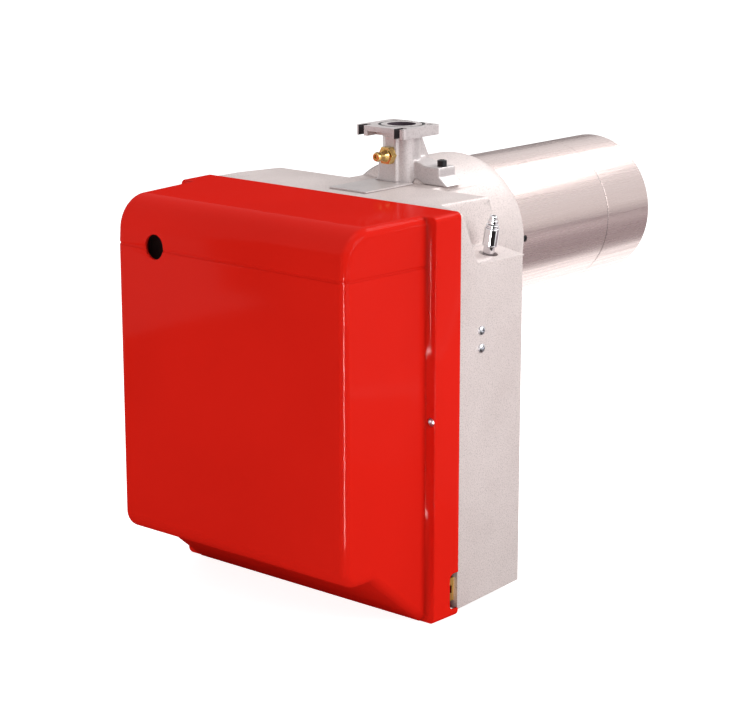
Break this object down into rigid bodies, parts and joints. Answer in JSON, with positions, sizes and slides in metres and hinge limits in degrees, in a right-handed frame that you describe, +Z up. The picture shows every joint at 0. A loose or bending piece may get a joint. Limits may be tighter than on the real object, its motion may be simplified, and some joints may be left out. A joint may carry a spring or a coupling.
{
  "type": "industrial gas burner",
  "caption": "Monobloc gas burner: red front cover, cast fan housing, flanged gas elbow and steel blast tube, with fan, air damper, combustion head and controls.",
  "frame": {"origin": "on the blast tube's axis, at the tube's front end against the fan housing neck", "axes": "+Y along the blast tube towards the furnace, +Z up, +X to the viewer's right when facing the cover"},
  "size_m": [0.3016, 0.5226, 0.404],
  "materials": {
    "housing_metal": "sand-cast, unpainted",
    "cover_red": "gloss moulded hood",
    "tube_steel": "brushed stainless",
    "head_metal": "die cast",
    "seal_rubber": "matt",
    "black_steel": "black oxide",
    "zinc_steel": "zinc plated",
    "yellow_zinc": "yellow passivated zinc",
    "nipple_brass": "turned",
    "fitting_chrome": "bright",
    "motor_iron": "painted grey",
    "fan_steel": "pressed",
    "air_box_black": "fine texture",
    "control_black": "satin",
    "control_grey": "satin",
    "button_red": "gloss",
    "capacitor_white": "satin",
    "ceramic_white": "glazed",
    "disc_steel": "heat-resisting steel"
  },
  "bodies": {
    "burner": {"fan_housing": "housing_metal", "side_screws": "zinc_steel", "blast_tube": "tube_steel", "tube_end": "tube_steel", "tube_screws": "black_steel", "motor_plate": "zinc_steel", "plate_screws": "black_steel", "motor_body": "motor_iron", "motor_end_shield": "head_metal", "motor_screws": "zinc_steel", "inlet_ring": "fan_steel", "air_box": "air_box_black", "air_box_screws": "black_steel", "intake_grille": "control_grey", "adjuster_sleeve": "fitting_chrome", "adjuster_lock_ring": "fitting_chrome", "control_base": "control_black", "control_box": "control_grey", "pressure_switch": "control_black", "capacitor": "capacitor_white", "capacitor_clip": "zinc_steel", "mains_socket": "control_black", "catch_plate": "yellow_zinc"},
    "combustion_head": {"gas_elbow": "head_metal", "flange_seal": "seal_rubber", "lug_screw": "black_steel", "test_nipple": "nipple_brass", "nipple_screw": "nipple_brass", "slot_cover": "head_metal", "gas_pipe": "zinc_steel", "gas_nozzle": "disc_steel", "diffuser_disc": "disc_steel", "ignition_insulator": "ceramic_white", "ignition_wire": "disc_steel", "flame_insulator": "ceramic_white", "flame_wire": "disc_steel", "electrode_clamp": "zinc_steel"},
    "fan": {"motor_shaft": "zinc_steel", "motor_rotor": "zinc_steel", "fan_wheel": "fan_steel"},
    "cover": {"front_cover": "cover_red", "cover_screws": "zinc_steel"},
    "reset": {"reset_button": "button_red"},
    "damper": {"damper_flap": "fan_steel", "damper_shaft": "zinc_steel"},
    "plunger": {"adjuster_plunger": "zinc_steel"},
    "spindle": {"adjuster_spindle": "fitting_chrome"},
    "dial": {"pressure_dial": "capacitor_white"}
  },
  "joints": [
    {"name": "cover_slide", "type": "slide", "parent": "burner", "child": "cover", "axis": [0, -1, 0], "range_m": [0, 0.16]},
    {"name": "reset_press", "type": "slide", "parent": "burner", "child": "reset", "axis": [0, 1, 0], "range_m": [0, 0.0035], "stiffness_N_per_m": 1200, "springref_m": -0.002},
    {"name": "fan_spin", "type": "hinge", "parent": "burner", "child": "fan", "pos_m": [0.012, -0.152, -0.152], "axis": [0, 1, 0], "continuous": true},
    {"name": "damper_swing", "type": "hinge", "parent": "burner", "child": "damper", "pos_m": [0, -0.0955, -0.094], "axis": [1, 0, 0], "range_deg": [0, 18]},
    {"name": "plunger_slide", "type": "slide", "parent": "burner", "child": "plunger", "axis": [-0.1564, 0, -0.9877], "range_m": [0, 0.0112]},
    {"name": "spindle_turn", "type": "hinge", "parent": "burner", "child": "spindle", "pos_m": [0.132, -0.13, 0.01439], "axis": [0.1564, 0, 0.9877], "range_deg": [0, 720]},
    {"name": "head_slide", "type": "slide", "parent": "burner", "child": "combustion_head", "axis": [0, -1, 0], "range_m": [0, 0.02]},
    {"name": "pressure_dial_turn", "type": "hinge", "parent": "burner", "child": "dial", "pos_m": [0.098, -0.2358, 0.008], "axis": [0, 1, 0], "range_deg": [0, 270]}
  ],
  "couplings": [
    {"joint": "plunger_slide", "follows": "damper_swing", "m_per_rad": 0.0346},
    {"joint": "spindle_turn", "follows": "damper_swing", "ratio": 40}
  ]
}
